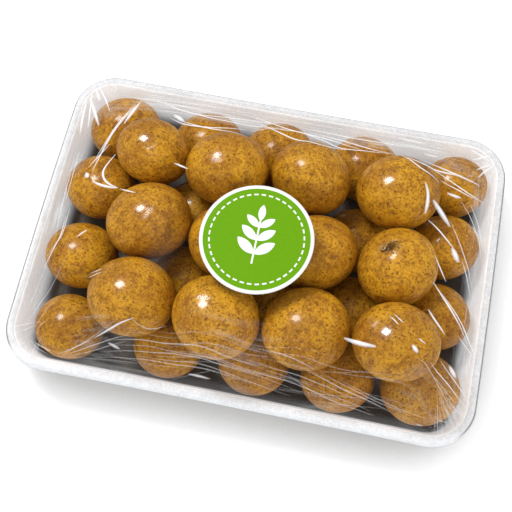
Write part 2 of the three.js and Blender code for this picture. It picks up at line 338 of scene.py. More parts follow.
def stemAxes(spec):
    state = spec["seed"]
    axes = {}

    def draw():
        nonlocal state
        state = (state * drawRule["factor"] + drawRule["step"]) % drawRule["range"]
        return state / drawRule["range"] * 2 - 1

    for layer, rows, columns in (
        ("lower", spec["lowerRows"], spec["lowerColumns"]),
        ("upper", spec["upperRows"], spec["upperColumns"]),
    ):
        for r in range(rows):
            for c in range(columns):
                inner = layer == "lower" and 0 < r < rows - 1 and 0 < c < columns - 1
                tilt, perRow = spec["innerStem" if inner else f"{layer}Stem"]
                tilt = tilt + perRow * r + draw() * spec["tiltSpread"]
                heading = spec["heading"] + draw() * spec["headingSpread"]
                axes[f"longan_{layer}_{r + 1}_{c + 1}"] = (axisFrom(tilt, heading), inner)
    axes[spec["scarNode"]] = (axisFrom(*spec["scarStem"]), False)
    return axes


# Centre and half width of a fruit, from its node's box
def fruitSize(node, axis, spec):
    low, high = (np.array(v[:]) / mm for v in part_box(node))
    reach = np.sqrt(1 - axis ** 2 + axis ** 2 * spec["flattening"] ** 2)
    return (low + high) / 2, float(np.max((high - low) / 2 / reach))


# A lumpy flattened ball with a dimple and a knob at the stem end, and its values for the skin
def fruitForm(directions, axis, halfWidth, spec, rng, scarred):
    halfHeight = halfWidth * spec["flattening"]
    along = directions @ axis
    across = np.sqrt(np.maximum(1 - along ** 2, 0))
    radius = 1 / np.sqrt((across / halfWidth) ** 2 + (along / halfHeight) ** 2)
    lump = spec["lump"] / spec["lumpWaves"] * 2
    for _ in range(spec["lumpWaves"]):
        wave = rng.normal(size=3) * spec["lumpWave"]
        radius = radius + lump * np.sin(directions @ wave + rng.uniform(0, spec["lumpTurn"]))
    aside = across * radius
    dimple, knob, hollow = (
        np.where(along > 0, np.exp(-(aside / spec[f"{name}Width"]) ** power), 0)
        for name, power in (("dimple", 2), ("knob", 6), ("hollow", 4))
    )
    radius = radius - spec["dimpleDepth"] * dimple
    radius = radius + spec["knobHeight"] * (knob - spec["hollowDepth"] * hollow)
    wrinkled = np.zeros(len(radius))
    if scarred:
        # a rough patch beside the stem end
        sideways = np.cross((0, 0, 1), axis)
        sideways /= np.linalg.norm(sideways)
        upward = np.cross(axis, sideways)
        towards = spec["patchTowards"][0] * sideways + spec["patchTowards"][1] * upward
        middle = axis * halfHeight + towards / np.linalg.norm(towards) * spec["patchReach"]
        middle *= halfHeight / np.linalg.norm(middle)
        gap = np.linalg.norm(directions * radius[:, None] - middle, axis=1)
        wrinkled = np.exp(-(gap / spec["patchSize"]) ** 4)
        waves = [
            np.sin(directions @ (rng.normal(size=3) * spec["patchWave"]) + k)
            for k in range(spec["patchWaves"])
        ]
        radius = radius + spec["patchRough"] * wrinkled * (sum(waves) / spec["patchSoften"]) * (1 - knob)
    values = {"dimple": dimple, "knob": knob - hollow * spec["hollowShade"], "wrinkled": wrinkled}
    return directions * radius[:, None], values


skinSpec = {
    "gold": (0.64, 0.307, 0.014), "tan": (0.45, 0.193, 0.012), "rust": (0.255, 0.088, 0.008),
    "speck": (0.1, 0.034, 0.004), "pale": (0.72, 0.4, 0.042), "ring": (0.4, 0.25, 0.1),
    "knob": (0.05, 0.026, 0.01), "patch": (0.05, 0.022, 0.008),
    # noises: scale, detail and roughness
    "patches": (75, 3, 0.55), "mottle": (260, 6, 0.72), "blotch": (494, 4, 0.6),
    "specks": (980, 3, 0.6), "grain": (1100, 4, 0.7),
    "patchEdge": (0.38, 0.62), "speckEdge": (0.56, 0.68),
    # soft round dots: scale, size, and the share of them left out
    "dots": (640, 0.21, 0.3), "dotSwell": 0.6, "dotEdge": (0.3, 1.5), "dotMargin": 0.1,
    # layers from the bottom up: noise, where it starts and is full, how much of its colour
    "lowLayers": [("mottle", 0.48, 0.64, 0.7, "rust"), ("blotch", 0.5, 0.66, 0.4, "rust"),
                  ("mottle", 0.48, 0.34, 0.35, "pale")],
    "highLayers": [("grain", 0.5, 0.62, 0.55, "rust"), ("grain", 0.46, 0.34, 0.5, "pale")],
    "specksShare": 0.72, "dotsShare": 0.95, "dimpleShare": 0.25, "patchShare": (0.35, 0.6, 0.4, 0.5),
    "knobEdge": (0.15, 0.4), "ringEdge": (0.55, 0.9),
    "grainRelief": 0.6, "cellRelief": 0.5, "cellScale": 900, "speckRelief": 0.4,
    "reliefHeight": 0.00018, "reliefStrength": 0.8,
    "roughness": 0.35, "roughSpread": 0.2, "specular": 0.15, "coat": 0.7, "coatRough": 0.16,
}


def skinPaint(spec):
    paint = Paint("longanSkin")
    place = paint.place()
    names = ("patches", "mottle", "blotch", "specks", "grain")
    noises = {name: paint.noise(place, *spec[name]) for name in names}

    def layered(tone, layers):
        for name, start, full, share, colour in layers:
            tone = paint.colours(noises[name].ease(start, full) * share, tone, spec[colour])
        return tone

    tone = paint.colours(noises["patches"].ease(*spec["patchEdge"]), spec["tan"], spec["gold"])
    tone = layered(tone, spec["lowLayers"])
    specks = noises["specks"].ease(*spec["speckEdge"])
    tone = paint.colours(specks * spec["specksShare"], tone, spec["speck"])
    tone = paint.colours(dotMask(paint, place, spec) * spec["dotsShare"], tone, spec["speck"])
    tone = layered(tone, spec["highLayers"])
    tone = paint.colours(paint.value("dimple") * spec["dimpleShare"], tone, spec["rust"])
    start, full, spread, least = spec["patchShare"]
    wrinkled = paint.value("wrinkled") * (noises["mottle"].ease(start, full) * spread + least)
    tone = paint.colours(wrinkled, tone, spec["patch"])
    knob = paint.value("knob")
    tone = paint.colours(knob.ease(*spec["knobEdge"]), tone, spec["knob"])
    tone = paint.colours(knob.ease(*spec["ringEdge"]), tone, spec["ring"])
    height = noises["grain"] * spec["grainRelief"]
    height = height + paint.cells(place, spec["cellScale"]) * spec["cellRelief"]
    height = height - specks * spec["speckRelief"]
    faceOn = 1 - paint.add("ShaderNodeLayerWeight", {}, {"Blend": 0.5}).out("Facing")
    return paint.finish(paint.surface({
        "Base Color": tone, "Roughness": noises["mottle"] * spec["roughSpread"] + spec["roughness"],
        "Normal": paint.bump(height, spec["reliefHeight"], spec["reliefStrength"]),
        "Specular IOR Level": spec["specular"],
        "Coat Weight": faceOn * spec["coat"], "Coat Roughness": spec["coatRough"],
    }))


# Soft round dots, some of them left out by each cell's own colour
def dotMask(paint, place, spec):
    scale, radius, missing = spec["dots"]
    swell = paint.noise(place, scale * spec["dotSwell"], 1) * radius + radius * 0.5
    dots = 1 - (paint.cells(place, scale) / swell).ease(*spec["dotEdge"])
    draw = paint.add("ShaderNodeSeparateColor", {}, {0: paint.cells(place, scale, "Color")}).out(0)
    return dots * draw.ease(missing - spec["dotMargin"], missing + spec["dotMargin"])


def addFruit(spec):
    skin = skinPaint(skinSpec)
    balls = {level: ballArrays(level) for level in {spec["level"], spec["innerLevel"], spec["scarLevel"]}}
    rng = np.random.default_rng(spec["seed"])
    heap = {}
    for node, (axis, inner) in stemAxes(spec).items():
        level = spec["scarLevel"] if node == spec["scarNode"] else spec["innerLevel" if inner else "level"]
        directions, faces = balls[level]
        centre, halfWidth = fruitSize(node, axis, spec)
        form, values = fruitForm(directions, axis, halfWidth, spec, rng, node == spec["scarNode"])
        makePiece(node.replace("longan", "fruit"), form + centre, faces, skin, node, values)
        heap[node] = centre, halfWidth, axis
    return heap


heap = addFruit(fruitSpec)
print("fruit made:", len(heap))

# Outlines and profiles shared by the tray and the film
packSpec = {
    "length": 172, "width": 124.4, "corner": 16.4, "pinch": 0.5, "bow": 0.6, "rim": 22,
    "floor": 4.0, "base": 0.8,
    "film": 0.45, "gap": 0.35, "baseInset": 7.4, "lip": 3, "lipDepth": 4, "overhang": 2, "wall": 3,
}


# Bends straight sides: the long ones in a little and the short ones out
def bowed(points):
    halfX, halfY = packSpec["length"] / 2, packSpec["width"] / 2
    x, y = points[..., 0], points[..., 1]
    return np.stack([
        x * (1 + packSpec["bow"] / halfX * (1 - (y / halfY) ** 2)),
        y * (1 - packSpec["pinch"] / halfY * (1 - (x / halfX) ** 2)),
    ], -1)


# Points of one side of the pack's outline, moved in by a distance; t runs 0 to 1 between corner middles
def sidePoints(distance, side, t):
    halfX, halfY = packSpec["length"] / 2 - distance, packSpec["width"] / 2 - distance
    radius = max(packSpec["corner"] - distance, 1)
    along, out = (halfX, halfY) if side % 2 == 0 else (halfY, halfX)
    straight = along - radius
    s = (2 * t - 1) * (straight + radius * math.pi / 4)
    turn = np.maximum(np.abs(s) - straight, 0) / radius
    p = np.sign(s) * (np.minimum(np.abs(s), straight) + radius * np.sin(turn))
    q = out - radius + radius * np.cos(turn)
    return np.stack([(p, -q), (q, p), (-p, q), (-q, -p)][side], -1)


def outlineLoop(distance, columns, rows):
    sides = [sidePoints(distance, side, np.arange(n) / n) for side, n in enumerate((columns, rows) * 2)]
    return np.concatenate(sides)


# A profile of (inset, height) corners, each rounded by its own radius
def roundedProfile(corners, steps):
    points = []
    for k, (corner, radius) in enumerate(corners):
        p = np.array(corner, float)
        if radius == 0 or k in (0, len(corners) - 1):
            points.append(p)
            continue
        before = np.array(corners[k - 1][0], float) - p
        after = np.array(corners[k + 1][0], float) - p
        before, after = before / np.linalg.norm(before), after / np.linalg.norm(after)
        half = math.acos(float(np.clip(before @ after, -1, 1))) / 2
        run = radius / math.tan(half)
        middle = p + (before + after) / np.linalg.norm(before + after) * radius / math.sin(half)
        first, last = p + before * run - middle, p + after * run - middle
        sweep = math.acos(float(np.clip(first @ last / radius ** 2, -1, 1)))
        for share in np.arange(steps + 1) / steps:
            weight = math.sin((1 - share) * sweep), math.sin(share * sweep)
            points.append(middle + (first * weight[0] + last * weight[1]) / math.sin(sweep))
    return points


# How far the tray's inner wall stands in from the outline at a height
def wallInset(z):
    low = packSpec["baseInset"] + packSpec["gap"] + packSpec["wall"] - packSpec["lip"] / 2
    high = packSpec["lip"] + packSpec["gap"] + packSpec["film"]
    share = min(max((z - packSpec["floor"]) / (packSpec["rim"] - packSpec["floor"]), 0), 1)
    return low + (high - low) * share


def loftFaces(loops, count):
    faces = []
    for k in range(loops - 1):
        for i in range(count):
            j = (i + 1) % count
            faces.append((k * count + i, (k + 1) * count + i, (k + 1) * count + j, k * count + j))
    return faces


# 0 to 1 between two values, eased at both ends
def ramp(value, low, high):
    t = np.clip((value - low) / (high - low), 0, 1)
    return t * t * (3 - 2 * t)


# Rises between the first two values and falls between the last two
def band(value, edges):
    return ramp(value, *edges[:2]) * (1 - ramp(value, *edges[2:]))


# Foam tray
traySpec = {
    "columns": 110, "rows": 80, "steps": 6, "spacing": 1.6, "edge": 0.4, "floorRing": 6,
    # radii of the profile's corners, from the inner floor over the lip to the base
    "rounds": (3, 1.3, 1.5, 0.6, 0.5, 1.6),
    # painted glow on the wall above the floor standing in for light through the foam, painted shade below, a
    # painted glow on the near lip and a painted grey shade line along the outer edge
    "wallMargin": 0.2, "wallGlowFrom": (4, 13), "deepUpTo": (4, 12), "lipMargin": 0.5,
    "nearBand": (9, 4), "nearGlow": 0.38, "edgeWidth": 0.45, "edgeDepth": 0.9, "edgeShade": 0.8,
}
foamSpec = {
    "white": (0.79, 0.795, 0.81), "shade": (0.68, 0.69, 0.712), "sparkle": (0.92, 0.93, 0.95),
    # deep is the painted shade's colour; glow and through are the painted glow's colour and strength
    "deep": (0.09, 0.07, 0.052), "glow": (0.78, 0.83, 0.88), "dark": (0, 0, 0), "through": 0.47,
    # noises: scale, detail and roughness; then where each starts and is full, and how much of its colour
    "fine": (1250, 3, 0.7), "shadeNoise": (480, 5, 0.72), "beadScale": 520,
    "shadeEdge": (0.42, 0.6), "shadeShare": 0.8, "sparkleEdge": (0.54, 0.64), "sparkleShare": 0.85,
    "beadRelief": 0.7, "fineRelief": 0.6, "reliefHeight": 0.00022, "reliefStrength": 0.8,
    "roughness": 0.5, "specular": 0.45,
}


def foamPaint(spec):
    paint = Paint("whiteFoam")
    place = paint.place()
    fine = paint.noise(place, *spec["fine"])
    shade = paint.noise(place, *spec["shadeNoise"]).ease(*spec["shadeEdge"])
    tone = paint.colours(shade * spec["shadeShare"], spec["white"], spec["shade"])
    tone = paint.colours(fine.ease(*spec["sparkleEdge"]) * spec["sparkleShare"], tone, spec["sparkle"])
    # painted shade: darker floor, lower wall and outer edge line
    tone = paint.colours(paint.value("deep"), tone, spec["deep"])
    height = (1 - paint.cells(place, spec["beadScale"])) * spec["beadRelief"] + fine * spec["fineRelief"]
    return paint.finish(paint.surface({
        "Base Color": tone, "Roughness": spec["roughness"], "Specular IOR Level": spec["specular"],
        "Normal": paint.bump(height, spec["reliefHeight"], spec["reliefStrength"]),
        # painted light: the foam glows on its upper wall and near lip though it is no lamp
        "Emission Color": paint.colours(paint.value("paintedGlow"), spec["dark"], spec["glow"]),
        "Emission Strength": spec["through"],
    }))


# Splits the longer steps between points
def refined(points, spacing, rounding=math.ceil):
    fine = [points[0]]
    for p in points[1:]:
        start = fine[-1]
        pieces = max(1, rounding(float(np.linalg.norm(p - start)) / spacing))
        fine += [start + (p - start) * (k + 1) / pieces for k in range(pieces)]
    return fine


def trayProfile(spec):
    edge, rim, floor, base = spec["edge"], packSpec["rim"], packSpec["floor"], packSpec["base"]
    under = rim - packSpec["lipDepth"]
    foot = packSpec["baseInset"] + packSpec["gap"]
    corners = [
        (wallInset(floor), floor), (wallInset(rim), rim), (edge, rim),
        (edge, under), (edge + packSpec["overhang"], under), (foot, base),
    ]
    start, end = (wallInset(floor) + spec["floorRing"], floor), (foot + spec["floorRing"], base)
    profile = [(start, 0), *zip(corners, spec["rounds"]), (end, 0)]
    return refined(roundedProfile(profile, spec["steps"]), spec["spacing"])


def addTray(spec):
    profile = trayProfile(spec)
    rim, nearSide = packSpec["rim"], packSpec["width"] / 2
    count = 2 * (spec["columns"] + spec["rows"])
    points, paintedGlow, deep = [], [], []
    for k, (inset, z) in enumerate(profile):
        flat = bowed(outlineLoop(inset, spec["columns"], spec["rows"]))
        points.append(np.column_stack([flat, np.full(count, z)]))
        near = ramp(-flat[:, 1], *(nearSide - v for v in spec["nearBand"]))
        inside = inset > wallInset(rim) - spec["wallMargin"] and k < len(profile) / 2
        lipWidth, lipDepth = spec["edge"] + packSpec["lip"], packSpec["lipDepth"] + spec["lipMargin"]
        lip = inset < lipWidth and z > rim - lipDepth
        edge = inset < spec["edge"] + spec["edgeWidth"] and z > rim - spec["edgeDepth"]
        # painted glow on the upper wall and the near lip; painted shade on the floor, the lower wall and the
        # outer edge
        wallLight = np.full(count, float(ramp(z, *spec["wallGlowFrom"])))
        wallShade = np.full(count, 1 - float(ramp(z, *spec["deepUpTo"])))
        paintedGlow.append(wallLight if inside and not lip else lip * near * spec["nearGlow"])
        deep.append(wallShade if inside else edge * (1 - near) * spec["edgeShade"])
    faces = loftFaces(len(profile), count)
    faces += [list(range(count)), list(range(len(profile) * count - 1, (len(profile) - 1) * count - 1, -1))]
    return makePiece("tray", np.concatenate(points), faces, foamPaint(foamSpec), "foam_tray",
                     {"paintedGlow": np.concatenate(paintedGlow), "deep": np.concatenate(deep)})


addTray(traySpec)
print("tray made")

# Label
labelSpec = {"sides": 128, "rings": 24, "thickness": 0.3, "edge": 0.12, "nodeThickness": 0.35}
printSpec = {
    "white": (0.86, 0.86, 0.84), "green": (0.135, 0.345, 0.002), "deep": (0.117, 0.312, 0.001),
    "borderWidth": 1.25, "ringInset": 3.4, "ringWidth": 0.55, "dashes": 40, "dashShare": 0.6,
    "stemHalf": 0.32, "stemLow": -9, "stemHigh": 7.5,
    # leaves in pairs: foot and length; then the one at the tip
    "leaves": [(-5.5, 8.2), (-0.5, 7.4), (4.2, 6.2)], "leafAngle": 38, "leafFatness": 0.42,
    "tipLeaf": (6.5, 6.0), "tipAngle": 90,
    "wearScale": 700, "wearEdge": (0.3, 0.75), "wearShare": 0.35,
    "crinkleScale": 140, "crinkleHeight": 0.0003, "crinkleStrength": 0.4, "roughness": 0.55, "specular": 0.1,
}


def labelPaint(spec, radius):
    paint = Paint("labelPrint")
    x, y = paint.value("labelX"), paint.value("labelY")
    reach = (x * x + y * y) ** 0.5
    white = reach.above(radius - spec["borderWidth"])
    ring = (reach - (radius - spec["ringInset"])).size().below(spec["ringWidth"] / 2)
    turn = paint.maths("ARCTAN2", y, x) * (spec["dashes"] / (2 * math.pi)) + 1
    white = white.atLeast(ring * paint.maths("FRACT", turn, 0).below(spec["dashShare"]))
    stem = x.size().below(spec["stemHalf"]) * y.above(spec["stemLow"]) * y.below(spec["stemHigh"])
    white = white.atLeast(stem)
    sprig = [(sign, *leaf, spec["leafAngle"]) for leaf in spec["leaves"] for sign in (-1, 1)]
    for sign, foot, length, angle in sprig + [(1, *spec["tipLeaf"], spec["tipAngle"])]:
        white = white.atLeast(leafMask(x * sign, y - foot, length, angle, spec["leafFatness"]))
    place = paint.place()
    wear = paint.noise(place, spec["wearScale"], 3).ease(*spec["wearEdge"])
    green = paint.colours(wear * spec["wearShare"], spec["green"], spec["deep"])
    crinkle = paint.noise(place, spec["crinkleScale"], 2)
    return paint.finish(paint.surface({
        "Base Color": paint.colours(white, green, spec["white"]), "Roughness": spec["roughness"],
        "Normal": paint.bump(crinkle, spec["crinkleHeight"], spec["crinkleStrength"]),
        "Specular IOR Level": spec["specular"],
    }))


# A pointed leaf: the overlap of two discs whose edges cross at its two ends
def leafMask(x, y, length, angle, fatness):
    turn = math.radians(angle)
    along = x * math.cos(turn) + y * math.sin(turn) - length / 2
    aside = y * math.cos(turn) - x * math.sin(turn)
    half, belly = length / 2, length * fatness / 2
    disc = (half ** 2 + belly ** 2) / (2 * belly)
    shift = disc - belly
    return (along * along + (aside.size() + shift) ** 2).below(disc ** 2)


def addLabel(spec):
    low, high = (np.array(v[:]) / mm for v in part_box("round_label"))
    radius = (high[0] - low[0]) / 2
    middle = (low + high) / 2
    tilt = math.asin((high[2] - low[2] - spec["nodeThickness"]) / (2 * radius))
    top, n = spec["thickness"] / 2, spec["sides"]
    rows = [(radius * k / spec["rings"], top) for k in range(1, spec["rings"])]
    rows += [(radius, top - spec["edge"]), (radius, -top), (radius / 2, -top)]
    points, xs, ys = [], [], []
    for r, z in [(0, top), *rows, (0, -top)]:
        for k in range(n if r else 1):
            angle = 2 * math.pi * k / n
            u, v = r * math.cos(angle), r * math.sin(angle)
            over = v * math.cos(tilt) - z * math.sin(tilt)
            points.append((u, over, v * math.sin(tilt) + z * math.cos(tilt)))
            xs.append(u)
            ys.append(v)
    faces = [(0, 1 + k, 1 + (k + 1) % n) for k in range(n)]
    for ring in range(len(rows) - 1):
        a, b = 1 + ring * n, 1 + (ring + 1) * n
        faces += [(a + k, b + k, b + (k + 1) % n, a + (k + 1) % n) for k in range(n)]
    last = 1 + (len(rows) - 1) * n
    faces += [(last + k, last + n, last + (k + 1) % n) for k in range(n)]
    values = {"labelX": xs, "labelY": ys}
    piece = makePiece("label", np.array(points) + middle, faces, labelPaint(printSpec, radius),
                      "round_label", values)
    return piece, middle, radius, tilt


label, labelMiddle, labelRadius, labelTilt = addLabel(labelSpec)
print("label made")

# Film
filmSpec = {
    "columns": 336, "rows": 244, "coarse": 3, "passes": (500, 300, 200, 160),
    "margin": 0.3, "nowhere": -1000, "gridInset": 2.2, "lift": 0.12, "labelSpare": -4, "labelGap": 0.22,
    # the wrap round the rim and under the base, down to the lapped seam
    "edgeGap": 0.25, "rounds": (1.5, 0.8, 1.4), "roundSteps": 5, "spacing": 2.5, "bottom": 0.05,
    "turnIn": 8, "seamHalf": 68, "seamWidth": 0.6, "wrapHaze": 0.03,
}


# Heights of the fruit under points of the pack, with the film's margin
def fruitTops(x, y, spec):
    tops = np.full(x.shape, float(spec["nowhere"]))
    for centre, halfWidth, axis in heap.values():
        a, b = halfWidth + spec["margin"], halfWidth * fruitSpec["flattening"] + spec["margin"]
        m = 1 / b ** 2 - 1 / a ** 2
        dx, dy = x - centre[0], y - centre[1]
        flat = axis[0] * dx + axis[1] * dy
        qa = 1 / a ** 2 + axis[2] ** 2 * m
        qb = 2 * axis[2] * flat * m
        qc = (dx ** 2 + dy ** 2) / a ** 2 + flat ** 2 * m - 1
        root = qb ** 2 - 4 * qa * qc
        top = centre[2] + (-qb + np.sqrt(np.maximum(root, 0))) / (2 * qa)
        tops = np.maximum(tops, np.where(root > 0, top, spec["nowhere"]))
    return tops


# A grid between the four sides of the outline
def filmPlane(columns, rows, inset):
    u = np.linspace(0, 1, columns + 1)[:, None, None]
    v = np.linspace(0, 1, rows + 1)[None, :, None]
    near, far = (sidePoints(inset, s, w)[:, None] for s, w in ((0, u[:, 0, 0]), (2, 1 - u[:, 0, 0])))
    right, left = (sidePoints(inset, s, w)[None] for s, w in ((1, v[0, :, 0]), (3, 1 - v[0, :, 0])))
    c = [sidePoints(inset, s, np.array([0.0]))[0] for s in range(4)]
    corners = (1 - u) * (1 - v) * c[0] + u * (1 - v) * c[1] + u * v * c[2] + (1 - u) * v * c[3]
    return bowed((1 - v) * near + v * far + (1 - u) * left + u * right - corners)


# A taut sheet over the heap, held at the rim and flat under the label, solved from coarse to fine
def stretchedHeights(spec):
    base = packSpec["rim"] + spec["lift"]
    z = None
    for level in range(spec["coarse"], -1, -1):
        plane = filmPlane(spec["columns"] >> level, spec["rows"] >> level, spec["gridInset"])
        x, y = plane[..., 0], plane[..., 1]
        floor = np.maximum(fruitTops(x, y, spec), base)
        under = np.hypot(x - labelMiddle[0], y - labelMiddle[1]) < labelRadius + spec["labelSpare"]
        flat = labelMiddle[2] + math.tan(labelTilt) * (y - labelMiddle[1]) - spec["labelGap"]
        z = np.full(x.shape, float(base)) if z is None else finer(z, x.shape)
        for _ in range(spec["passes"][spec["coarse"] - level]):
            z[1:-1, 1:-1] = (z[:-2, 1:-1] + z[2:, 1:-1] + z[1:-1, :-2] + z[1:-1, 2:]) / 4
            z = np.maximum(z, floor)
            z[under] = np.maximum(flat, floor)[under]
            z[0], z[-1], z[:, 0], z[:, -1] = base, base, base, base
    return plane, z, floor, under


# The same heights on a finer grid
def finer(z, shape):
    rows = np.linspace(0, z.shape[0] - 1, shape[0])
    columns = np.linspace(0, z.shape[1] - 1, shape[1])
    i, j = np.minimum(rows.astype(int), z.shape[0] - 2), np.minimum(columns.astype(int), z.shape[1] - 2)
    s, t = (rows - i)[:, None], (columns - j)[None, :]
    i, j = i[:, None], j[None, :]
    return (z[i, j] * (1 - s) + z[i + 1, j] * s) * (1 - t) + (z[i, j + 1] * (1 - s) + z[i + 1, j + 1] * s) * t


# Smooth random field with its own grain along each direction
def streakField(along, across, steps, rng):
    alongStep, acrossStep = steps
    a, b = along / alongStep, across / acrossStep
    a, b = a - a.min(), b - b.min()
    table = rng.uniform(0, 1, (int(a.max()) + 2, int(b.max()) + 2))
    i, j = a.astype(int), b.astype(int)
    s, t = ramp(a - i, 0, 1), ramp(b - j, 0, 1)
    i2, j2 = np.minimum(i + 1, table.shape[0] - 1), np.minimum(j + 1, table.shape[1] - 1)
    low = table[i, j] * (1 - s) + table[i2, j] * s
    high = table[i, j2] * (1 - s) + table[i2, j2] * s
    return low * (1 - t) + high * t


creaseSpec = {
    "seed": 21, "depth": 0.24, "sharpness": 5,
    # distances from the rims and corners between which creases rise and fall
    "longBand": (0, 4, 18, 26), "shortBand": (0, 3, 9, 15), "lipBand": (2.6, 3.8, 4.4, 6.4),
    "corner": (18, 34), "freeAbove": (0.05, 1.2),
    # steps of the random fields, along and across the creases
    "longGrain": (26, 1.1), "shortGrain": (22, 1.0), "fanGrain": (14, 1.0), "patchGrain": (17, 11),
    "fanStart": 3, "fanTurn": 34, "fanShift": (60, 130), "patchEdge": (0.35, 0.75),
    # haze, for the near side (-1) and the far side (1), for the ends and for the near lip
    "haze": {-1: 0.12, 1: 0.6}, "veil": {-1: 0.004, 1: 0.06},
    "endHaze": 0.36, "endReach": 16, "lipHaze": 0.06,
    # the calm middle, and the share of shine that stays over some upper fruit, by row and column
    "calmLong": (14, 24), "calmShort": (12, 20), "calmAbove": (0.05, 0.5), "calm": 0.98, "quietReach": 10,
    "quiet": {(1, 2): 0.2, (1, 4): 0.4, (2, 1): 0.35, (2, 4): 0.3, (3, 1): 0.3, (3, 2): 0.5},
}


# Where the film creases, is hazy and shines: it creases along the rims and out to the corners, never on fruit
def creases(x, y, z, floor, under, spec):
    rng = np.random.default_rng(spec["seed"])

    def ridges(along, across, grain):
        return (1 - np.abs(2 * streakField(along, across, spec[grain], rng) - 1)) ** spec["sharpness"]

    fromLong, fromShort = packSpec["width"] / 2 - np.abs(y), packSpec["length"] / 2 - np.abs(x)
    fromCorner = np.hypot(fromLong, fromShort)
    corner = 1 - ramp(fromCorner, *spec["corner"])
    longBand, shortBand = band(fromLong, spec["longBand"]), band(fromShort, spec["shortBand"])
    longRidge, shortRidge = ridges(x, y, "longGrain"), ridges(y, x, "shortGrain")
    turn = np.arctan2(fromLong + spec["fanStart"], fromShort + spec["fanStart"]) * spec["fanTurn"]
    turn = turn + np.sign(x) * spec["fanShift"][0] + np.sign(y) * spec["fanShift"][1]
    fanRidge = ridges(fromCorner, turn, "fanGrain")
    patch = ramp(streakField(x, y, spec["patchGrain"], rng), *spec["patchEdge"])
    amount = np.maximum(longBand * longRidge, shortBand * shortRidge) * (1 - corner)
    amount = np.maximum(amount, corner * fanRidge) * patch
    # white haze along creases, rims and the near lip: partly the film's milkiness, partly painted reflection
    hazeShare, veil = (np.where(y < 0, spec[key][-1], spec[key][1]) for key in ("haze", "veil"))
    hazeShare = np.where(fromShort < np.minimum(fromLong, spec["endReach"]), spec["endHaze"], hazeShare)
    lip = band(fromLong, spec["lipBand"]) * (y < 0)
    haze = amount * hazeShare + longBand * veil * patch + lip * spec["lipHaze"]
    calm = ramp(fromLong, *spec["calmLong"]) * ramp(fromShort, *spec["calmShort"]) * spec["calm"]
    shine = 1 - calm * np.maximum(ramp(z - floor, *spec["calmAbove"]), under)
    for (row, column), share in spec["quiet"].items():
        centre = heap[f"longan_upper_{row}_{column}"][0]
        gap = np.hypot(x - centre[0], y - centre[1])
        shine = shine * (1 - (1 - share) * np.exp(-(gap / spec["quietReach"]) ** 4))
    free = ramp(z - floor, *spec["freeAbove"]) * ~under
    return amount * free, np.clip(haze, 0, 1), shine


clearSpec = {
    "mirror": (1, 1, 1, 1), "gloss": 0.15, "faceShine": 0.06, "edgeShine": 0.15, "shinePower": 5,
    "rippleStretch": (1, 2.2, 1), "rippleScale": 90, "rippleHeight": 0.00009, "rippleStrength": 0.5,
    "white": (0.88, 0.9, 0.92, 1), "hazeRough": 0.3,
    "glint": (0.95, 0.95, 0.97, 1), "glintRough": 0.22,
    "glintScale": 900, "glintHeight": 0.0001, "glintStrength": 0.3,
}


# Clear, with more gloss edge on than face on, the same from both sides, and white where it is hazy: partly
# the film's own milkiness, partly painted reflection of light in its creases
def filmPaint(spec):
    paint = Paint("clearFilm")
    ripple = paint.noise(paint.stretched(paint.place(), spec["rippleStretch"]), spec["rippleScale"], 1)
    normal = paint.bump(ripple, spec["rippleHeight"], spec["rippleStrength"])
    mirror = {"Base Color": spec["mirror"], "Metallic": 1.0, "Roughness": spec["gloss"], "Normal": normal}
    white = {"Base Color": spec["white"], "Roughness": spec["hazeRough"], "Normal": normal}
    facing = paint.add("ShaderNodeLayerWeight", {}, {"Blend": 0.5, "Normal": normal}).out("Facing")
    shine = (facing ** spec["shinePower"]) * (spec["edgeShine"] - spec["faceShine"]) + spec["faceShine"]
    sheet = paint.layered(shine * paint.value("shine"), paint.transparent(), paint.surface(mirror))
    return paint.finish(paint.layered(paint.value("haze"), sheet, paint.surface(white)))


# painted glints: white strips on the folds stand in for the light the folds catch
def glintPaint(spec):
    paint = Paint("foldGlints")
    fine = paint.noise(paint.place(), spec["glintScale"], 2)
    fold = paint.surface({
        "Base Color": spec["glint"], "Roughness": spec["glintRough"],
        "Normal": paint.bump(fine, spec["glintHeight"], spec["glintStrength"]),
    })
    return paint.finish(paint.layered(paint.value("bright"), paint.transparent(), fold))
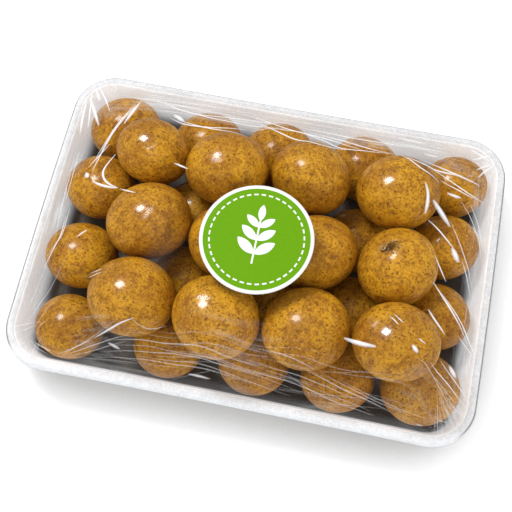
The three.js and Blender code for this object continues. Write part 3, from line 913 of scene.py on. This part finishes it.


# Folds seen in the photograph: width in pixels, brightness, and the pixels they run through
# the brightness is the share of white painted on a fold as its glint
foldLines = [
    (2, 0.9, [(94, 338), (103, 333), (112, 328), (123, 322), (134, 318)]),
    (1.2, 0.55, [(58, 354), (76, 347), (94, 338)]),
    (1, 0.45, [(60, 356), (88, 347), (112, 339), (128, 335)]),
    (1, 0.35, [(64, 357), (96, 350), (128, 341)]),
    (1, 0.35, [(62, 355), (84, 342), (104, 329), (120, 318)]),
    (1.2, 0.45, [(112, 340), (146, 340), (180, 344), (220, 354), (260, 366)]),
    (1, 0.4, [(100, 352), (136, 351), (170, 353), (215, 363), (260, 375)]),
    (1, 0.35, [(95, 357), (150, 360), (200, 368), (260, 385)]),
    (1, 0.3, [(104, 346), (150, 346), (200, 356), (250, 372), (300, 392)]),
    (1, 0.3, [(140, 356), (190, 362), (240, 378), (290, 396)]),
    (3, 0.7, [(108, 343), (114, 346), (120, 349)]),
    (2, 0.7, [(188, 374), (198, 376), (210, 379)]),
    (1.4, 0.35, [(22, 330), (34, 312), (50, 290), (60, 270), (66, 256)]),
    (1, 0.3, [(24, 333), (40, 304), (48, 285)]),
    (1, 0.3, [(28, 338), (42, 316), (54, 300)]),
    (1, 0.3, [(22, 322), (32, 300), (42, 276), (50, 258)]),
    (1.5, 0.8, [(77, 237), (82, 233), (87, 230)]),
    (1.2, 0.4, [(66, 216), (60, 238), (52, 252), (44, 268)]),
    (1, 0.3, [(70, 208), (62, 236), (46, 258)]),
    (1, 0.45, [(37, 330), (41, 324), (47, 320)]),
    (1, 0.35, [(90, 274), (96, 271), (102, 269)]),
    (1, 0.3, [(88, 278), (96, 274), (103, 272)]),
    (1.3, 0.6, [(34, 342), (42, 347), (52, 352)]),
    (1, 0.5, [(30, 340), (38, 349), (48, 354)]),
    (2, 0.8, [(90, 98), (94, 110), (99, 126)]),
    (1.4, 0.6, [(87, 100), (83, 116), (80, 134)]),
    (1.4, 0.6, [(96, 90), (98, 95), (100, 101)]),
    (1, 0.45, [(92, 94), (90, 112), (88, 128)]),
    (1, 0.4, [(100, 88), (106, 100), (110, 112)]),
    (2.2, 0.85, [(140, 103), (132, 113), (124, 124)]),
    (1.2, 0.55, [(142, 101), (130, 112), (118, 126), (104, 148), (92, 172)]),
    (1, 0.45, [(136, 104), (122, 119), (108, 139), (96, 158)]),
    (2, 0.8, [(116, 154), (108, 163), (102, 172), (104, 180), (110, 185), (118, 188)]),
    (2.2, 0.9, [(92, 181), (100, 185), (110, 187.5), (118, 188)]),
    (1.2, 0.5, [(120, 189), (128, 191), (136, 193)]),
    (1.2, 0.5, [(110, 144), (99, 156), (88, 168)]),
    (4, 0.8, [(86, 173), (88, 178)]),
    (1, 0.45, [(150, 97), (180, 110), (210, 118), (250, 126), (290, 129)]),
    (1, 0.4, [(158, 105), (200, 115), (246, 120), (290, 126)]),
    (1.2, 0.5, [(170, 118), (182, 124), (214, 128), (246, 130)]),
    (1, 0.45, [(178, 120), (212, 129), (244, 136)]),
    (3, 0.6, [(174, 115), (179, 118), (184, 122)]),
    (1, 0.3, [(130, 97), (160, 102), (200, 110), (240, 117)]),
    (1.6, 0.55, [(174, 163), (181, 166), (188, 169)]),
    (1, 0.3, [(74, 160), (66, 190), (60, 214), (56, 236)]),
    (1, 0.3, [(80, 150), (72, 178), (66, 200)]),
    (1.2, 0.5, [(250, 116), (270, 123), (290, 130), (314, 136), (336, 142), (362, 150)]),
    (1.2, 0.5, [(250, 120), (274, 130), (296, 140), (320, 145), (346, 150)]),
    (1, 0.45, [(250, 132), (270, 128), (300, 132), (338, 148), (366, 151), (394, 154)]),
    (1, 0.45, [(310, 133), (350, 143), (394, 154)]),
    (1, 0.4, [(300, 128), (350, 138), (400, 146), (440, 152)]),
    (1.4, 0.6, [(398, 138), (410, 141), (426, 144)]),
    (1.4, 0.6, [(424, 154), (431, 156), (438, 157)]),
    (1.6, 0.7, [(406, 157), (418, 162), (430, 168), (446, 173), (462, 176)]),
    (1.4, 0.6, [(422, 160), (436, 166), (450, 172), (466, 179), (480, 186)]),
    (1, 0.5, [(426, 165), (446, 178), (466, 192), (484, 204)]),
    (1.2, 0.55, [(440, 180), (458, 190), (476, 200)]),
    (1, 0.4, [(396, 154), (420, 168), (440, 184)]),
    (1, 0.45, [(470, 150), (480, 155), (490, 162)]),
    (1, 0.4, [(472, 160), (482, 158), (492, 155)]),
    (1, 0.4, [(466, 146), (474, 148), (482, 149)]),
    (1, 0.45, [(478, 178), (484, 172), (494, 166)]),
    (1, 0.4, [(476, 170), (484, 167), (492, 164)]),
    (3, 0.95, [(425, 182), (428, 190), (428, 202), (425, 214)]),
    (5, 1, [(433, 200), (440, 211), (450, 227)]),
    (3, 0.8, [(447, 193), (453, 196), (461, 198)]),
    (1.6, 0.7, [(428, 220), (436, 227), (442, 234), (450, 244), (456, 252)]),
    (6, 1, [(452, 248), (455, 255), (458, 263)]),
    (1, 0.4, [(472, 226), (475, 232), (478, 238)]),
    (1, 0.35, [(460, 200), (470, 216), (478, 238), (482, 262)]),
    (1, 0.35, [(470, 204), (478, 224), (483, 250)]),
    (1.4, 0.6, [(435, 256), (440, 268), (446, 282)]),
    (2, 0.85, [(433, 282), (442, 296), (452, 312), (462, 330)]),
    (2.6, 0.9, [(428, 309), (432, 316), (438, 325), (445, 335)]),
    (1.2, 0.6, [(442, 294), (452, 308), (462, 324), (470, 344)]),
    (1, 0.4, [(446, 300), (458, 322), (468, 346)]),
    (1, 0.4, [(450, 220), (460, 244), (468, 268), (472, 290)]),
    (1, 0.4, [(462, 260), (467, 278), (470, 296)]),
    (1.2, 0.5, [(462, 326), (469, 342), (476, 360)]),
    (1, 0.4, [(458, 336), (466, 348), (474, 358)]),
    (3, 0.9, [(344, 338), (351, 341), (358, 343), (367, 345), (376, 347)]),
    (1, 0.5, [(390, 316), (394, 320), (399, 325)]),
    (1, 0.45, [(394, 314), (399, 319), (404, 323)]),
    (1, 0.45, [(418, 338), (422, 341), (426, 344)]),
    (3.4, 0.8, [(412, 345), (415, 349), (418, 353)]),
    (4, 0.85, [(449, 366), (452, 372), (456, 378)]),
    (1.2, 0.5, [(418, 358), (430, 370), (442, 392), (458, 424)]),
    (1, 0.45, [(426, 366), (440, 384), (456, 404), (470, 424)]),
    (1, 0.4, [(430, 362), (448, 384), (466, 408)]),
    (1, 0.4, [(440, 360), (454, 380), (468, 400)]),
    (1.2, 0.45, [(306, 370), (326, 380), (344, 390), (390, 412)]),
    (1, 0.35, [(284, 372), (306, 388), (330, 400), (374, 416)]),
    (1, 0.35, [(250, 370), (290, 382), (336, 400)]),
    (1, 0.35, [(250, 360), (275, 369), (300, 376), (330, 388), (360, 402)]),
    (1, 0.3, [(320, 372), (346, 386), (376, 402), (410, 416)]),
    (1, 0.3, [(340, 380), (370, 396), (400, 410), (430, 420)]),
    (1.4, 0.5, [(436, 419), (441, 421), (447, 423)]),
    (1.4, 0.5, [(415, 424), (419, 425), (423, 426)]),
    (1.2, 0.4, [(256, 348), (276, 352), (296, 360), (316, 370)]),
    (1.2, 0.4, [(130, 318), (140, 326), (150, 330), (166, 326)]),
]
foldSpec = {
    "pixelWidth": 0.3636, "step": 0.8, "smoothing": 6, "ridge": 0.3, "lift": 0.04, "above": 200,
    "across": (-1, -0.45, 0, 0.45, 1), "edgeShare": (0, 0.75, 1, 0.75, 0), "taper": (0.04, 0.96, 0.45),
    # how much wider and brighter the listed folds are made, by where they start across the pack
    "nearEdge": -41, "farEdge": 30,
    "strength": {"near": (0.95, 0.9), "middle": (1.55, 2.0), "far": (2.4, 2.4)},
    # small folds: how many on the near (-1) and far side (1) or on each, and the ranges they are drawn from
    "seed": 5, "longCount": {-1: 26, 1: 80}, "longBright": {-1: 0.8, 1: 1.9},
    "shortCount": 20, "cornerCount": 20,
    "long": {"start": (-70, 50), "run": (14, 52), "inset": (4, 17), "drift": (-3.5, 3.5),
             "bright": (0.1, 0.3), "width": (0.22, 0.36)},
    "short": {"start": (-48, 34), "run": (8, 24), "inset": (4.5, 12), "drift": (-2, 2),
              "width": (0.22, 0.34), "bright": (0.1, 0.28)},
    "fan": {"turn": (8, 82), "reach": (12.5, 14.5), "run": (3, 11),
            "width": (0.22, 0.42), "bright": (0.15, 0.45)},
    "longEnd": 74, "shortEnd": 48,
}


# Fine folds that run along each rim and fan out at each corner
def smallFolds(spec):
    rng = np.random.default_rng(spec["seed"])
    halfX, halfY = packSpec["length"] / 2, packSpec["width"] / 2
    folds = []

    def draws(kind, count):
        for _ in range(count):
            yield [rng.uniform(*limits) for limits in spec[kind].values()]

    for side in (-1, 1):
        for x, run, inset, drift, bright, width in draws("long", spec["longCount"][side]):
            end = min(x + run, spec["longEnd"]), side * (halfY - inset - drift)
            folds.append((width, bright * spec["longBright"][side], [(x, side * (halfY - inset)), end]))
        for y, run, inset, drift, width, bright in draws("short", spec["shortCount"]):
            end = side * (halfX - inset - drift), min(y + run, spec["shortEnd"])
            folds.append((width, bright, [(side * (halfX - inset), y), end]))
        for far in (-1, 1):
            x, y = side * (halfX - packSpec["corner"]), far * (halfY - packSpec["corner"])
            for turn, reach, run, width, bright in draws("fan", spec["cornerCount"]):
                out, over = side * math.cos(math.radians(turn)), far * math.sin(math.radians(turn))
                folds.append((width, bright, [(x + r * out, y + r * over) for r in (reach, reach - run)]))
    return folds


# A fold as a low ridge on the film, narrowing to both ends, painted white as the glint it catches
def foldStrip(width, bright, places, surface, spec):
    track = np.array(refined([np.array(p) for p in places], spec["step"], round))
    for _ in range(spec["smoothing"]):
        track[1:-1] = (track[:-2] + track[2:] + 2 * track[1:-1]) / 4
    way = np.gradient(track, axis=0)
    way /= np.linalg.norm(way, axis=1)[:, None]
    aside = np.column_stack([-way[:, 1], way[:, 0]])
    first, last, power = spec["taper"]
    taper = np.sin(np.linspace(first, last, len(track)) * math.pi) ** power
    points, shares = [], []
    for k, place in enumerate(track):
        for across, share in zip(spec["across"], spec["edgeShare"]):
            x, y = place + aside[k] * across * width / 2 * taper[k]
            hit = surface.ray_cast(Vector((x, y, spec["above"])), Vector((0, 0, -1)))[0]
            z = hit.z if hit else packSpec["rim"]
            points.append((x, y, z + spec["lift"] + spec["ridge"] * width * share * taper[k]))
            shares.append(bright * share * taper[k])
    n = len(spec["across"])
    faces = [(k * n + j, (k + 1) * n + j, (k + 1) * n + j + 1, k * n + j + 1)
             for k in range(len(track) - 1) for j in range(n - 1)]
    return points, shares, faces


# Where the film lies that shows at a pixel of the photograph, for the camera's place and angles
def seenPlace(pixel, surface, spec):
    up, turn = math.radians(spec["elevation"]), math.radians(spec["azimuth"])
    outward = outwardFrom(up, turn)
    right = np.array([math.cos(turn), math.sin(turn), 0])
    upward = np.cross(outward, right)
    middle = spec["framePixels"] / 2
    across = (pixel[0] - middle - spec["rightPixels"]) / spec["focalPixels"]
    down = (pixel[1] - middle - spec["downPixels"]) / spec["focalPixels"]
    ray = Vector(right * across - upward * down - outward)
    hit = surface.ray_cast(Vector(outward * spec["distance"]), ray.normalized())[0]
    return hit.x, hit.y


def addFolds(film, spec):
    corners = [v.co / mm for v in film.data.vertices]
    surface = BVHTree.FromPolygons(corners, [p.vertices[:] for p in film.data.polygons])
    folds = []
    for width, bright, pixels in foldLines:
        places = [seenPlace(pixel, surface, cameraSpec) for pixel in pixels]
        start = places[0][1]
        where = "near" if start < spec["nearEdge"] else "far" if start > spec["farEdge"] else "middle"
        widen, brighten = spec["strength"][where]
        folds.append((width * spec["pixelWidth"] * widen, min(1, bright * brighten), places))
    points, values, faces = [], [], []
    for width, bright, places in folds + smallFolds(spec):
        more, shares, quads = foldStrip(width, bright, places, surface, spec)
        faces += [tuple(v + len(points) for v in quad) for quad in quads]
        points += more
        values += shares
    return makePiece("foldGlints", points, faces, glintPaint(clearSpec), None, {"bright": values})


# Rings of points from the rim round the lip and in under the base, the last one closed up to the seam
def wrapRings(spec):
    rim, inset, bottom = packSpec["rim"] + spec["lift"], packSpec["baseInset"], spec["bottom"]
    out = traySpec["edge"] - spec["edgeGap"]
    corners = [(out, rim), (out, packSpec["rim"] - packSpec["lipDepth"]), (inset, bottom)]
    start, end = (spec["gridInset"], rim), (inset + spec["turnIn"], bottom)
    profile = roundedProfile([(start, 0), *zip(corners, spec["rounds"]), (end, 0)], spec["roundSteps"])
    flats = [(bowed(outlineLoop(inset, spec["columns"], spec["rows"])), z)
             for inset, z in refined(profile, spec["spacing"])[1:]]
    flats.append((seamLoop(spec), bottom))
    return [np.column_stack([flat, np.full(len(flat), z)]) for flat, z in flats]


def seamLoop(spec):
    loop = []
    for side, n in enumerate((spec["columns"], spec["rows"]) * 2):
        t = np.arange(n) / n * 2 - 1
        half, wide = spec["seamHalf"], spec["seamWidth"]
        p, q = (t * half, np.full(n, wide)) if side % 2 == 0 else (t * wide, np.full(n, half))
        loop.append(np.stack([(p, -q), (q, p), (-p, q), (-q, -p)][side], -1))
    return np.concatenate(loop)


def addFilm(spec):
    plane, z, floor, under = stretchedHeights(spec)
    x, y = plane[..., 0], plane[..., 1]
    lift, haze, shine = creases(x, y, z, floor, under, creaseSpec)
    z = z + lift * creaseSpec["depth"]
    index = np.arange(z.size).reshape(z.shape)
    points = [np.stack([x, y, z], -1).reshape(-1, 3)]
    quads = [np.stack([index[:-1, :-1], index[1:, :-1], index[1:, 1:], index[:-1, 1:]], -1).reshape(-1, 4)]
    above = np.concatenate([index[:-1, 0], index[-1, :-1], index[:0:-1, -1], index[0, :0:-1]])
    rings = wrapRings(spec)
    for k, ring in enumerate(rings):
        here = z.size + k * len(ring) + np.arange(len(ring))
        points.append(ring)
        quads.append(np.stack([above, here, np.roll(here, -1), np.roll(above, -1)], -1))
        above = here
    wrap = len(rings) * len(above)
    values = {
        "haze": np.append(haze, np.full(wrap, spec["wrapHaze"])),
        "shine": np.append(shine, np.ones(wrap)),
    }
    film = makePiece("film", np.concatenate(points), np.concatenate(quads).tolist(), filmPaint(clearSpec),
                     "stretch_film", values)
    folds = addFolds(film, foldSpec)


addFilm(filmSpec)
print("film made")
